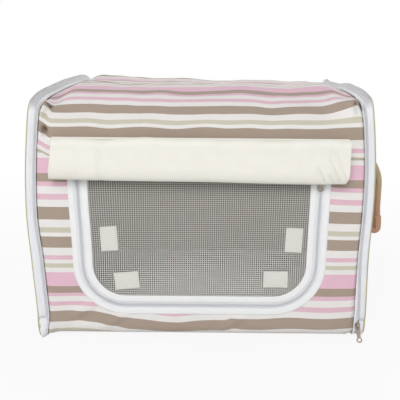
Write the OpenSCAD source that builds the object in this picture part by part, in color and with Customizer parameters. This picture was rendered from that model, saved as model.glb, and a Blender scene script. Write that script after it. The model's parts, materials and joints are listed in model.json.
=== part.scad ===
// Soft pet carrier bag: a padded cloth tube closed by two zip-off end panels, with a zipped net
// door in the front, a privacy flap rolled up above it and a webbing handle on the right end.
// Millimetres. X runs along the bag, the front faces -Y, Z is up, the origin is the middle of the base.

/* [Bag] */
// Length over the two end faces
bag_length = 480; // [440:5:540]
// Depth from the front face to the rear face
bag_depth = 400; // [360:5:440]
// Height from the floor to the roof
bag_height = 355; // [340:5:390]
// Radius of the two long upper corners at the ends of the tube
roof_r = 42; // [36:1:52]
// Depth of the roof's slack shoulders between the ends, from the front or rear face to the level top
slack_depth = 100; // [80:2:130]
// Distance from an end of the tube over which the roof goes slack
slack_run = 40; // [30:2:60]
// Radius of the two long lower corners
base_r = 16; // [14:1:18]
// Thickness of the padded cloth walls
wall_t = 3; // [2.5:0.5:4]
// Thickness of the lining
lining_t = 1; // [0.6:0.1:1.4]
// Distance from the top of the roof down to the seams on the front and the rear
seam_drop = 75; // [65:1:80]

/* [End panels] */
// Radius of the piping round an end panel
piping_r = 3; // [2.6:0.1:3.4]
// Radius of the frame wire in the piping
wire_r = 1.3; // [1:0.1:1.6]
// Clearance between the frame wire and the piping
wire_clear = 0.2; // [0.1:0.05:0.3]
// Thickness of the end cover cloth
cover_t = 1.5; // [1:0.1:2]
// Thickness of the stiffening board behind the cover
board_t = 2.2; // [1.5:0.1:3]
// Clearance between the cover and board edges and the piping
edge_clear = 0.2; // [0.1:0.05:0.4]
// Clearance between the tube and a swinging end panel
swing_clear = 0.4; // [0.3:0.1:0.8]

/* [Zips] */
// Thickness of a zip tape
tape_t = 1; // [0.8:0.1:1.2]
// Width of tape beside the coil on the tube
tube_tape_w = 5; // [4:0.5:7]
// Width of tape beside the coil on an end panel
rim_tape_w = 4.5; // [4:0.5:6]
// Width of one half of a zip coil
coil_w = 2.2; // [1.8:0.1:2.5]
// Thickness of a zip coil
coil_t = 2.2; // [1.9:0.1:2.5]
// How far a coil stands out of the face of its tape
coil_proud = 0.6; // [0.4:0.1:0.8]
// Gap between the two halves of a coil
coil_gap = 1.5; // [1.5:0.1:2]

/* [Sliders and pulls] */
// Length of a slider
slider_l = 11; // [10:0.5:12]
// Thickness of a slider plate
plate_t = 1.2; // [1:0.1:1.4]
// Clearance between a slider and what it runs on
slider_clear = 0.4; // [0.3:0.1:0.5]
// Width of the post between the plates
post_w = 0.6; // [0.5:0.05:0.7]
// Width of a slider's bridge
bridge_w = 2.4; // [2:0.1:2.8]
// Length of a pull from its pin to its end
pull_l = 26; // [25:0.5:29]
// Width of the stem of a pull
pull_w = 6.8; // [6.6:0.1:7.4]
// Thickness of a pull
pull_t = 1.3; // [1:0.1:1.5]
// Outer radius of the ring end of a pull
ring_r = 4.2; // [3.8:0.1:4.6]
// Radius of the hole in the ring end
ring_hole_r = 2.4; // [2:0.1:2.8]
// Radius of the pin of a pull
pin_r = 0.8; // [0.7:0.05:0.9]
// Clearance between a pin and its bridge
pin_clear = 0.3; // [0.2:0.05:0.35]

/* [Window and door] */
// Width of the net that shows
net_w = 310; // [280:5:320]
// Height of the lower edge of the net that shows
net_z = 63; // [58:1:80]
// Radius of the lower corners of the net
net_r = 48; // [40:1:60]
// Distance from the front seam down to the line where the door bends
door_drop = 66; // [64:1:75]
// Width of the door's binding
binding_w = 10; // [9:0.5:12]
// Half the width between the two bindings, where the zip shows
zip_half = 4.6; // [4.4:0.1:5]
// Width of the window's binding
window_binding_w = 9.5; // [8:0.5:12]
// How far the bindings stand out of the front face
binding_proud = 0.5; // [0.3:0.1:0.8]
// How deep the zip lies behind the front face
zip_depth = 1.2; // [1:0.1:1.4]
// How far the net reaches under its binding
net_tuck = 3; // [2:0.5:4]
// Gap between the door and the fixed header above it
door_gap = 0.4; // [0.3:0.1:0.6]
// Openings across the net
net_columns = 22; // [16:1:22]
// Openings up the door's net
net_rows = 11; // [8:1:12]
// Width of a strand of the net
strand_w = 3; // [2.5:0.1:4]
// Distance from the front seam down to the door slider's middle
door_slider_drop = 32; // [26:1:34]
// Short side of a hook-and-loop patch
patch_short = 25; // [20:1:30]
// Long side of a hook-and-loop patch
patch_long = 36; // [30:1:42]
// Thickness of a patch
patch_t = 1.4; // [1:0.1:1.6]
// Distance of the upper patches from the middle
upper_patch_x = 131; // [125:1:134]
// Distance from the door's bend down to the middle of the upper patches
upper_patch_drop = 64; // [49:1:69]
// Distance of the lower patches from the middle
lower_patch_x = 107; // [90:1:108]
// Distance from the net's lower edge up to the middle of the lower patches
lower_patch_rise = 26; // [23:1:37]

/* [Privacy flap] */
// Length of the rolled flap
flap_length = 414; // [380:2:420]
// Thickness of the flap cloth
flap_t = 2; // [1.6:0.1:2.4]
// Height of the flap's hem above the front seam
flap_rise = 15; // [12:1:18]
// Radius of the hem
hem_r = 2.4; // [2:0.1:2.6]
// Clearance between the hem and the front face
hem_clear = 0.6; // [0.4:0.1:0.8]
// How far the roll hangs below the hem
roll_drop = 57; // [54:1:57]
// Radius of the roll's lower bend, at the middle of the cloth
roll_r = 10; // [9.6:0.1:10.6]
// Distance between the layers of the roll
roll_pitch = 4.4; // [4:0.1:4.6]
// Distance from the hem's middle to the back layer of the roll
roll_out = 7; // [6.6:0.1:7.4]

/* [Handle] */
// Distance from the roof down to the handle's hinge line
handle_hinge_drop = 85; // [80:1:105]
// Distance over the two legs of the handle
handle_span = 120; // [110:2:150]
// Width of the webbing
strap_w = 28; // [24:1:32]
// Thickness of the doubled webbing
strap_t = 5; // [4:0.2:5.4]
// How far the handle hangs down
handle_drop = 153; // [146:1:160]
// Length of the straight upper stretch of a leg
leg_l = 31; // [28:1:36]
// Slope of the upper stretch below level
leg_slope = 35; // [30:1:40]
// Radius of the bend of a leg
leg_r = 60; // [50:1:64]
// Radius of the curl at the lower edge
curl_r = 8; // [7:0.5:10]
// Height of the grip band that joins the legs
grip_h = 34; // [30:1:44]
// Side of a sewn anchor
anchor_h = 36; // [30:1:44]
// Thickness of an anchor
anchor_t = 2; // [1.6:0.1:2.2]
// Clearance between the handle's hem and its anchors
anchor_clear = 0.4; // [0.3:0.05:0.6]

/* [Floor insert] */
// Thickness of the base board
floor_board_t = 3; // [2:0.5:4]
// Thickness of the floor pad
pad_t = 12; // [8:1:16]
// Clearance round the insert
insert_clear = 3; // [2:0.5:5]

/* [Hidden] */
$fn = 48;
// Straight steps in a quarter or half bend of cloth
bend_steps = 8;

half_depth = bag_depth / 2;
front_y = -half_depth;
seam_z = bag_height - seam_drop;
flat_y = half_depth - base_r;
end_x = bag_length / 2;

// The end panels swing on the lower stretch of the piping.
hinge_x = end_x - piping_r;
hinge_z = piping_r;
piping_bore_r = wire_r + wire_clear;
cover_inset = 2 * piping_r + edge_clear;
cover_x = end_x - 0.7;
board_x = cover_x - cover_t;

// Places along X at the right end, from the piping inwards
rim_tape_x = hinge_x - 0.86 * piping_r;
rim_coil_x = rim_tape_x - rim_tape_w;
chain_x = rim_coil_x - coil_w - coil_gap / 2;
tube_coil_x = chain_x - coil_gap / 2 - coil_w;
tube_x = tube_coil_x - tube_tape_w;
tongue_x = hinge_x - piping_r - swing_clear;

// The slider's plates, measured outwards from the face of the tape
front_plate_y = -(coil_proud + slider_clear);
back_plate_y = coil_t - coil_proud + slider_clear;
slider_w = 2 * (coil_gap / 2 + coil_w + slider_clear) + 1.4;
lip_w = 0.7;
lip_clear = 0.3;
bore_r = pin_r + pin_clear;
pin_y = front_plate_y - plate_t - bore_r - 0.4;
bridge_y = pin_y - bore_r - 0.6;
bridge_l = 2 * (bore_r + 1.7);
arm_x = bridge_w / 2 + slider_clear;

end_slider_z = base_r + slider_l / 2 - 2.5;
coil_start_z = end_slider_z - slider_l / 2 + 0.5;
rim_start_z = end_slider_z + slider_l / 2 + 2.5;
gusset_top_z = rim_start_z - swing_clear;
// A pull at a lower corner leans out until its end just clears the floor.
floor_clear = 1;
pull_lean = acos((end_slider_z - floor_clear - pull_t / 2) / pull_l);

// The window and the door, as distances outwards from the edge of the net
chain_off = binding_w + zip_half;
door_coil_off = chain_off - coil_gap / 2 - coil_w;
window_coil_off = chain_off + coil_gap / 2;
window_tape_off = window_coil_off + coil_w;
window_binding_off = chain_off + zip_half;
opening_off = window_binding_off + window_binding_w;
zip_y = front_y + zip_depth;
binding_y = front_y - binding_proud;
door_z = seam_z - door_drop;
door_top_z = door_z - door_gap;
door_slider_z = seam_z - door_slider_drop;
upper_patch_z = door_z - upper_patch_drop;
lower_patch_z = net_z + lower_patch_rise;

hem_y = front_y - hem_r - hem_clear;
hem_z = seam_z + flap_rise;

// The slack shoulders start at the flap's hem. Each step is a share of slack_run and how slack the roof is there.
slack_height = bag_height - hem_z;
slack_steps = [[0, 0], [0.3, 0.22], [0.65, 0.72], [1, 1]];

handle_x = cover_x + anchor_t + anchor_clear + hem_r;
handle_z = bag_height - handle_hinge_drop;

inner_y = half_depth - wall_t - lining_t;
floor_z = wall_t + lining_t;
insert_x = board_x - board_t - insert_clear;

function oval(c, wide, high, from, to) = [
    for (i = [0 : bend_steps])
        let (a = from + (to - from) * i / bend_steps)
            c + [wide * cos(a), high * sin(a)]
];

function arc(c, r, from, to) = oval(c, r, r, from, to);

function reversed(p) = [for (i = [len(p) - 1 : -1 : 0]) p[i]];

// Outline of the tube in Y and Z, moved outwards by o
function outline(o) = let (h = half_depth + o, top = bag_height + o, lo = base_r + o, hi = roof_r + o)
    concat(
        arc([-h + lo, base_r], lo, 180, 270),
        arc([h - lo, base_r], lo, 270, 360),
        arc([h - hi, top - hi], hi, 0, 90),
        arc([-h + hi, top - hi], hi, 90, 180)
    );

// Outline of the roof above the seams in Y and Z, moved outwards by o, with shoulders that are slack by s
function roof_outline(o, s) =
    let (h = half_depth + o, top = bag_height + o,
         wide = roof_r + (slack_depth - roof_r) * s + o, high = roof_r + (slack_height - roof_r) * s + o)
    concat(
        [[h, seam_z]],
        oval([h - wide, top - high], wide, high, 0, 90),
        oval([wide - h, top - high], wide, high, 90, 180),
        [[-h, seam_z]]
    );

// Edge of the window in X and Z, moved outwards from the net by o, open at the top
function window_edge(o, top) = let (h = net_w / 2, c = h - net_r)
    concat(
        [[-h - o, top]],
        arc([-c, net_z + net_r], net_r + o, 180, 270),
        arc([c, net_z + net_r], net_r + o, 270, 360),
        [[h + o, top]]
    );

module along_x(x0, x1) translate([x0, 0, 0]) rotate([90, 0, 90]) linear_extrude(x1 - x0) children();
module along_y(y0, y1) translate([0, y1, 0]) rotate([90, 0, 0]) linear_extrude(y1 - y0) children();

// Band of the tube's outline between two distances from it
module band(inner, outer) difference() {
    polygon(outline(outer));
    polygon(outline(inner));
}

// Shell of the roof between two distances from its outline, slack between its ends
module roof_shell(inner, outer) {
    left = [for (p = slack_steps) [slack_run * p[0] - tube_x, p[1]]];
    stations = concat(left, [for (p = reversed(left)) [-p[0], p[1]]]);
    rings = [for (p = stations) concat(roof_outline(outer, p[1]), reversed(roof_outline(inner, p[1])))];
    n = len(rings[0]);
    last = len(stations) - 1;
    polyhedron(
        [for (i = [0 : last]) for (q = rings[i]) [stations[i][0], q[0], q[1]]],
        concat(
            [for (i = [0 : last - 1]) for (k = [0 : n - 1])
                let (a = i * n + k, b = i * n + (k + 1) % n, c = a + n, d = b + n)
                    each k < n / 2 ? [[a, c, d], [a, d, b]] : [[a, c, b], [c, d, b]]],
            [for (k = [0 : n / 2 - 2]) each [[k, k + 1, n - 2 - k], [k, n - 2 - k, n - 1 - k]]],
            [for (k = [0 : n / 2 - 2]) let (e = last * n)
                each [[e + n - 2 - k, e + k + 1, e + k], [e + n - 1 - k, e + n - 2 - k, e + k]]]
        )
    );
}

module above(z) translate([-bag_depth, z]) square([2 * bag_depth, bag_height]);
module below(z) translate([-bag_depth, -bag_height]) square([2 * bag_depth, bag_height + z]);
module flat_floor() translate([-flat_y, -base_r]) square([2 * flat_y, 2 * base_r]);
module front_half() translate([-bag_depth, -bag_height]) square([bag_depth, 3 * bag_height]);

module window_plate(o, top) polygon(window_edge(o, top));
module window_band(inner, outer, top)
    polygon(concat(window_edge(outer, top), reversed(window_edge(inner, top))));

// Strips on the two sides of the fixed header, between two distances from the edge of the net
module header_strips(inner, outer) for (s = [-1, 1])
    translate([s * (net_w / 2 + (inner + outer) / 2) - (outer - inner) / 2, door_z])
        square([outer - inner, seam_z - door_z]);

// Left end pieces are the right ones turned about the middle of the bag.
module at_left() rotate([0, 0, 180]) children();

// Padded cloth tube

module front_panel() color("mistyrose") difference() {
    along_x(-tube_x, tube_x) intersection() {
        difference() {
            band(-wall_t, 0);
            flat_floor();
        }
        front_half();
        below(seam_z);
    }
    along_y(front_y - 1, front_y + wall_t + 1) window_plate(opening_off, seam_z + 1);
}

module rear_panel() color("mistyrose") mirror([0, 1, 0])
    along_x(-tube_x, tube_x) intersection() {
        difference() {
            band(-wall_t, 0);
            flat_floor();
        }
        front_half();
        below(seam_z);
    }

module roof_panel() color("lavenderblush") roof_shell(-wall_t, 0);

module base_panel() color("tan")
    translate([-tongue_x, -flat_y, 0]) cube([2 * tongue_x, 2 * flat_y, wall_t]);

module lining() color("whitesmoke") {
    difference() {
        along_x(-tube_x, tube_x) intersection() {
            band(-wall_t - lining_t, -wall_t);
            below(seam_z);
        }
        along_y(front_y + wall_t - 1, front_y + floor_z + 1) window_plate(opening_off, seam_z + 1);
    }
    roof_shell(-wall_t - lining_t, -wall_t);
}

// Zip tapes and coils on the tube

module right_tube_tape() color("white") along_x(tube_x, tube_coil_x) difference() {
    band(-tape_t, 0);
    flat_floor();
}

module right_tube_coil() color("gainsboro") along_x(tube_coil_x, tube_coil_x + coil_w) intersection() {
    band(coil_proud - coil_t, coil_proud);
    above(coil_start_z);
}

module right_gussets() color("white") along_x(rim_coil_x, rim_tape_x) difference() {
    intersection() {
        band(-tape_t, 0);
        below(gusset_top_z);
    }
    flat_floor();
}

module left_tube_tape() at_left() right_tube_tape();
module left_tube_coil() at_left() right_tube_coil();
module left_gussets() at_left() right_gussets();

// Window edge and the fixed header above the door

module window_binding() color("white") along_y(binding_y, zip_y)
    window_band(window_binding_off, opening_off, seam_z);

module window_tape() color("whitesmoke") along_y(zip_y, zip_y + tape_t)
    window_band(window_tape_off, opening_off, seam_z);

module window_coil() color("gainsboro") along_y(zip_y - coil_proud, zip_y - coil_proud + coil_t)
    window_band(window_coil_off, window_tape_off, seam_z);

module header_net() color("gray") along_y(zip_y, zip_y + tape_t) difference() {
    translate([-net_w / 2 - door_coil_off, door_z])
        square([net_w + 2 * door_coil_off, seam_z - door_z]);
    for (i = [0 : net_columns - 1])
        translate([-net_w / 2 + i * net_pitch_x + strand_w / 2, door_z + strand_w])
            square([net_pitch_x - strand_w, net_pitch_z - strand_w]);
}

module header_binding() color("white") along_y(binding_y, zip_y) header_strips(0, binding_w);

module header_coil() color("gainsboro") along_y(zip_y - coil_proud, zip_y - coil_proud + coil_t)
    header_strips(door_coil_off, door_coil_off + coil_w);

// Net door

net_pitch_x = net_w / net_columns;
net_pitch_z = (door_top_z - strand_w / 2 - net_z) / net_rows;

// True where a corner of an opening of the net lies inside the rounded edge
function in_net(x, z) = let (dx = abs(x) - (net_w / 2 - net_r), dz = net_z + net_r - z)
    dx <= 0 || dz <= 0 || dx * dx + dz * dz < (net_r - 1) * (net_r - 1);

module net_openings() for (i = [0 : net_columns - 1], j = [0 : net_rows - 1])
    let (x = -net_w / 2 + i * net_pitch_x + strand_w / 2, z = net_z + j * net_pitch_z + strand_w / 2)
        if (in_net(x, z) && in_net(x + net_pitch_x - strand_w, z))
            translate([x, z]) square([net_pitch_x - strand_w, net_pitch_z - strand_w]);

module door_net() color("dimgray") along_y(zip_y, zip_y + tape_t) difference() {
    window_plate(net_tuck, door_top_z);
    net_openings();
}

module door_binding() color("white") along_y(binding_y, zip_y) window_band(0, binding_w, door_top_z);

module door_tape() color("whitesmoke") along_y(zip_y, zip_y + tape_t)
    window_band(net_tuck, door_coil_off, door_top_z);

module door_coil() color("gainsboro") along_y(zip_y - coil_proud, zip_y - coil_proud + coil_t)
    window_band(door_coil_off, door_coil_off + coil_w, door_top_z);

module hook_patches() color("ivory") along_y(zip_y - patch_t, zip_y) for (s = [-1, 1]) {
    translate([s * upper_patch_x, upper_patch_z]) square([patch_short, patch_long], center = true);
    translate([s * lower_patch_x, lower_patch_z]) square([patch_long, patch_short], center = true);
}

// Zip sliders and pulls, drawn with the tape's face at Y = 0 and the zip running up Z

module plate_shape(low) let (w = slider_w / 2, l = slider_l / 2, c = 1.5) polygon([
    [-w, low + c], [-w + c, low], [w - c, low], [w, low + c],
    [w, l - c], [w - c, l], [-w + c, l], [-w, l - c]
]);

module slider() difference() {
    union() {
        along_y(front_plate_y - plate_t, front_plate_y) plate_shape(-slider_l / 2);
        along_y(back_plate_y, back_plate_y + plate_t) plate_shape(-slider_l / 4);
        translate([-post_w / 2, front_plate_y - plate_t / 2, 1])
            cube([post_w, back_plate_y - front_plate_y + plate_t, slider_l / 2 - 2]);
        for (s = [-1, 1])
            translate([s * (slider_w - lip_w) / 2 - lip_w / 2, front_plate_y - plate_t / 2, -slider_l / 4])
                cube([lip_w, plate_t / 2 - front_plate_y - lip_clear, slider_l / 2]);
        translate([-bridge_w / 2, bridge_y, -bridge_l / 2])
            cube([bridge_w, front_plate_y - plate_t / 2 - bridge_y, bridge_l]);
    }
    translate([-bridge_w, pin_y, 0]) rotate([0, 90, 0]) cylinder(r = bore_r, h = 2 * bridge_w);
}

module pull() {
    along_y(pin_y - pull_t / 2, pin_y + pull_t / 2) difference() {
        union() {
            translate([-pull_w / 2, -pull_l + ring_r]) square([pull_w, pull_l - ring_r - 5]);
            for (s = [-1, 1])
                translate([s * (arm_x + pull_w / 2) / 2 - (pull_w / 2 - arm_x) / 2, -6])
                    square([pull_w / 2 - arm_x, 7]);
            translate([0, -pull_l + ring_r]) circle(r = ring_r);
        }
        translate([0, -pull_l + ring_r]) circle(r = ring_hole_r);
    }
    translate([-pull_w / 2, pin_y, 0]) rotate([0, 90, 0]) cylinder(r = pin_r, h = pull_w);
}

module leaning_pull() translate([0, pin_y, 0]) rotate([-pull_lean, 0, 0]) translate([0, -pin_y, 0]) pull();

module at_end_zip() translate([chain_x, front_y, end_slider_z]) children();
module at_door_zip() translate([net_w / 2 + chain_off, zip_y, door_slider_z]) children();

module right_slider() color("dimgray") at_end_zip() slider();
module right_pull() color("gray") at_end_zip() leaning_pull();
module left_slider() color("dimgray") at_left() at_end_zip() slider();
module left_pull() color("gray") at_left() at_end_zip() leaning_pull();
module door_slider() color("dimgray") at_door_zip() slider();
module door_pull() color("gray") at_door_zip() pull();

// Privacy flap, hanging from its hem with the cloth rolled up twice

module flap_section() {
    mid = -roll_out - roll_r;
    low_z = -roll_drop + roll_r + flap_t / 2;
    high_z = hem_r - roll_r + roll_pitch / 2 - flap_t / 2;
    side = function (s) concat(
        [[0.88 * s, -0.48 * s], [-roll_out + s, -2 * roll_out + roll_out / 6]],
        arc([mid, low_z], roll_r + s, 0, -180),
        arc([mid - roll_pitch / 2, high_z], roll_r - roll_pitch / 2 + s, 180, 0),
        arc([mid, low_z], roll_r - roll_pitch + s, 0, -180),
        arc([mid - roll_pitch / 2, high_z], roll_r - 1.5 * roll_pitch + s, 180, 0),
        [[mid + roll_r - 2 * roll_pitch + s, low_z + roll_r]]
    );
    polygon(concat(side(flap_t / 2), reversed(side(-flap_t / 2))));
}

module privacy_flap() color("ivory") translate([0, hem_y, hem_z]) union() {
    along_x(-flap_length / 2, flap_length / 2) flap_section();
    along_x(-flap_length / 2, flap_length / 2) circle(r = hem_r);
}

// End panels

module tube_ring_section(r, bore) difference() {
    circle(r = r);
    if (bore > 0) circle(r = bore);
}

// Round cord or tube laid along the edge of an end panel
module edge_ring(r, bore) translate([hinge_x, 0, 0]) {
    lo = base_r - piping_r;
    hi = roof_r - piping_r;
    side_y = half_depth - piping_r;
    top_z = bag_height - piping_r;
    translate([0, flat_y, piping_r]) rotate([90, 0, 0])
        linear_extrude(2 * flat_y) tube_ring_section(r, bore);
    translate([0, half_depth - roof_r, top_z]) rotate([90, 0, 0])
        linear_extrude(bag_depth - 2 * roof_r) tube_ring_section(r, bore);
    for (s = [-1, 1]) {
        translate([0, s * side_y, base_r])
            linear_extrude(bag_height - base_r - roof_r) tube_ring_section(r, bore);
        translate([0, s * flat_y, base_r]) rotate([0, 90, 0]) rotate(s > 0 ? 0 : -90)
            rotate_extrude(angle = 90) translate([lo, 0]) tube_ring_section(r, bore);
        translate([0, s * (half_depth - roof_r), bag_height - roof_r]) rotate([0, 90, 0])
            rotate(s > 0 ? 90 : 180)
            rotate_extrude(angle = 90) translate([hi, 0]) tube_ring_section(r, bore);
    }
}

module right_piping() color("darkkhaki") edge_ring(piping_r, piping_bore_r);
module right_frame_wire() color("silver") edge_ring(wire_r, 0);

module right_end_cover() color("mistyrose") along_x(cover_x - cover_t, cover_x) polygon(outline(-cover_inset));
module right_end_board() color("black") along_x(board_x - board_t, board_x) polygon(outline(-cover_inset));

module right_rim_tape() color("white") along_x(rim_coil_x, rim_tape_x) intersection() {
    band(-tape_t, 0);
    above(rim_start_z);
}

module right_rim_coil() color("gainsboro") along_x(rim_coil_x - coil_w, rim_coil_x) intersection() {
    band(coil_proud - coil_t, coil_proud);
    above(rim_start_z);
}

module left_piping() at_left() right_piping();
module left_frame_wire() at_left() right_frame_wire();
module left_end_cover() at_left() right_end_cover();
module left_end_board() at_left() right_end_board();
module left_rim_tape() at_left() right_rim_tape();
module left_rim_coil() at_left() right_rim_coil();

// Carry handle on the right end

// Side of the strap in X and Z from its hinge line, s to the outside of its middle
function strap_side(s) =
    let (bend = leg_l * [cos(leg_slope), -sin(leg_slope)] - leg_r * [sin(leg_slope), cos(leg_slope)],
         curl = [bend[0] + leg_r - curl_r, curl_r + strap_t / 2 - handle_drop])
    concat(
        [s * [sin(leg_slope), cos(leg_slope)]],
        arc(bend, leg_r + s, 90 - leg_slope, 0),
        arc(curl, curl_r + s, 0, -150)
    );

module strap_shape() polygon(concat(strap_side(strap_t / 2), reversed(strap_side(-strap_t / 2))));

module at_handle() translate([handle_x, 0, handle_z]) children();

module carry_handle() color("tan") at_handle() {
    for (s = [-1, 1]) translate([0, s * (handle_span - strap_w) / 2, 0]) along_y(-strap_w / 2, strap_w / 2) {
        strap_shape();
        circle(r = hem_r);
    }
    along_y(-handle_span / 2, handle_span / 2) intersection() {
        strap_shape();
        translate([-bag_depth, -bag_depth - handle_drop + grip_h]) square([2 * bag_depth, bag_depth]);
    }
}

module handle_anchors() color("peru") for (s = [-1, 1])
    translate([cover_x, s * (handle_span - strap_w) / 2 - strap_w / 2, handle_z - 2 * hem_r])
        cube([anchor_t, strap_w, anchor_h]);

// Floor insert

module insert_shape(l, w, r) polygon(concat(
    arc([-l + r, -w + r], r, 180, 270),
    arc([l - r, -w + r], r, 270, 360),
    arc([l - r, w - r], r, 0, 90),
    arc([-l + r, w - r], r, 90, 180)
));

module base_board() color("sienna") translate([0, 0, floor_z])
    linear_extrude(floor_board_t) insert_shape(insert_x, flat_y - 1, 10);

module floor_pad() color("beige") translate([0, 0, floor_z + floor_board_t])
    linear_extrude(pad_t) insert_shape(insert_x - insert_clear, flat_y - 1, 22);

front_panel();
rear_panel();
roof_panel();
base_panel();
lining();
right_tube_tape();
right_tube_coil();
right_gussets();
left_tube_tape();
left_tube_coil();
left_gussets();
window_binding();
window_tape();
window_coil();
header_net();
header_binding();
header_coil();
door_net();
door_binding();
door_tape();
door_coil();
hook_patches();
right_slider();
right_pull();
left_slider();
left_pull();
door_slider();
door_pull();
privacy_flap();
right_piping();
right_frame_wire();
right_end_cover();
right_end_board();
right_rim_tape();
right_rim_coil();
left_piping();
left_frame_wire();
left_end_cover();
left_end_board();
left_rim_tape();
left_rim_coil();
carry_handle();
handle_anchors();
base_board();
floor_pad();
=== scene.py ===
import json
import math

import bmesh
import bpy
import numpy as np
from mathutils import Matrix, Vector, noise

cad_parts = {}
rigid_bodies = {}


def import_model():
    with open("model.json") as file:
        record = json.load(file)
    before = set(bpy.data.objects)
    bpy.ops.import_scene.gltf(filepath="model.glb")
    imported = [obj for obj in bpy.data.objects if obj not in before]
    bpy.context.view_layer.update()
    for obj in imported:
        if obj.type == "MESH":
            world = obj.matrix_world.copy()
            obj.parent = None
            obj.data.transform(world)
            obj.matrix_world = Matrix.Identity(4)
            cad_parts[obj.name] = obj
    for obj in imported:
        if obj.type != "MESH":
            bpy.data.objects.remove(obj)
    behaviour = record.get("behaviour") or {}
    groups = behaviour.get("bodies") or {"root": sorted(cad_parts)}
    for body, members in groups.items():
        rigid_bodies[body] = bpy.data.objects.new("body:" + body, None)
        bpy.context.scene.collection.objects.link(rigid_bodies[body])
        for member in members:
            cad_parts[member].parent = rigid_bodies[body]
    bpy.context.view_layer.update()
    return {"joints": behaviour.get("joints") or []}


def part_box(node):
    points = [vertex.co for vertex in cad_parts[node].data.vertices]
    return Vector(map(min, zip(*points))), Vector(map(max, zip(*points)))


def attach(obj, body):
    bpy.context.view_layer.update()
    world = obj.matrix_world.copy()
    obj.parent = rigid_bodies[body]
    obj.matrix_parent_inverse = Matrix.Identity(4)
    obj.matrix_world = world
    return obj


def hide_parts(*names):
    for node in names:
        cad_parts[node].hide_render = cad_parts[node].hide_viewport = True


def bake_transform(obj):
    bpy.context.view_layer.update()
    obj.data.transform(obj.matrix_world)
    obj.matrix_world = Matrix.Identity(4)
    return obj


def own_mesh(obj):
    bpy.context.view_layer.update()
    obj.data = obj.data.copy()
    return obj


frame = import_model()


# Front panel
# Padded cotton canvas with woven stripes, cut out under the seam for the net door. It turns under at the
# lower edge into the base and is sewn to the end zips at both sides.

front_low, front_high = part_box("front_panel")
front_y, seam_z = front_low.y, front_high.z
cloth_x = front_high.x + 0.0045
edge_x = cloth_x + 0.0015
door_low, door_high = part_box("door_binding")
binding_w = 0.010
net_x, net_z, net_r = door_high.x - binding_w, door_low.z + binding_w, 0.048
base_r = 0.016
corner_l = base_r * math.pi / 2
canvas_t, window_cut = 0.0026, 0.0247


def ease(x, low, high):
    """0 below low, 1 above high and a smooth rise between them."""
    t = np.clip((x - low) / (high - low), 0, 1)
    return t * t * (3 - 2 * t)


def hump(off, wide):
    """1 in the middle and down to nothing within about two widths."""
    return np.exp(-(off / wide) ** 2)


def points_of(*axes):
    """Points from their numbers along each axis, spread to one shape."""
    return np.stack(np.broadcast_arrays(*axes), -1)


def settle(points):
    """How the sewn box gives as it stands: its ends bow out, the left rear corner leans in, the right end's
    foot and shoulders stand out, the left front foot spreads, the left zip is tucked in above it, the window
    opens a little at its top, and the roof's edges hang a little below the end hoops."""
    moved = np.array(points, float)
    x, y, z = np.moveaxis(moved.copy(), -1, 0)
    wide, left = np.abs(x), x < 0
    rim = ease(wide, 0.185, 0.225) * ease(np.abs(y), 0.07, 0.19)
    belly = np.sin(math.pi * np.clip(z / 0.34, 0, 1) ** np.where(left, 1.2, 1.5))
    bow = np.where(left, 0.0095, 0.009) * belly * rim
    lean = ease(-x, -0.10, 0.24) * ease(y, -0.19, 0.20) * ease(z, 0.262, 0.352)
    foot = ease(-x, 0.212, 0.234) * (1 - ease(z, 0.0, 0.022)) * ease(-y, 0.15, 0.18)
    flare = (1 - ease(z, 0.02, 0.15)) * ease(x, 0.2195, 0.2270) * (1 - 0.3 * ease(x, 0.2315, 0.24))
    flare *= 1 - ease(y, -0.10, 0.12)
    shoulder = ease(x, 0.12, 0.225) * ease(z, 0.325, 0.345)
    window = ease(-y, 0.185, 0.195) * ease(wide, 0.08, 0.15) * (1 - ease(wide, 0.186, 0.215))
    window *= ease(z, 0.11, 0.235) * (1 - ease(z, 0.285, 0.30)) * np.where(left, 0.0044, 0.0016)
    ledge = ease(z, 0.325, 0.347) * ease(0.2405 - wide, 0.003, 0.016) * ease(wide, 0.188, 0.217)
    ledge *= np.maximum(ease(y, front_y + 0.012, front_y + 0.05), ease(wide, 0.2190, 0.2240))
    tuck = ease(-x, 0.185, 0.222) * (1 - 0.55 * ease(-x, 0.226, 0.24))
    tuck *= ease(z, 0.0, 0.04) * (1 - ease(z, 0.11, 0.19))
    moved[..., 0] += np.sign(x) * (bow + window) + 0.021 * lean + 0.0085 * flare
    moved[..., 0] += 0.0065 * foot * ease(-x, 0.222, 0.238) + 0.0042 * tuck
    moved[..., 1] -= 0.020 * foot
    moved[..., 2] += 0.010 * lean * ease(-x, 0.06, 0.22) - 0.009 * ledge
    moved[..., 2] += shoulder * (0.006 * (1 - ease(y, -0.05, 0.06)) + 0.008 * ease(y, 0.12, 0.185))
    moved[..., 2] = np.maximum(moved[..., 2], 0)
    return moved


def ditch(x):
    """How deep the cloth's edge dips where it is sewn under the zip tape."""
    return 0.0040 * ease(np.abs(x), cloth_x - 0.0020, cloth_x + 0.0004)


def ripple(points, size, seed):
    """Smooth noise from -1 to 1 at each point, with waves about as long as size."""
    flat = np.asarray(points, float).reshape(-1, 3) / size
    values = [noise.noise(Vector(p) + Vector((seed, seed * 0.7, seed * 1.3))) for p in flat]
    return np.array(values).reshape(np.shape(points)[:-1])


def set_out(name, data):
    """A new object in the scene."""
    made = bpy.data.objects.new(name, data)
    bpy.context.collection.objects.link(made)
    return made


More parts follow.
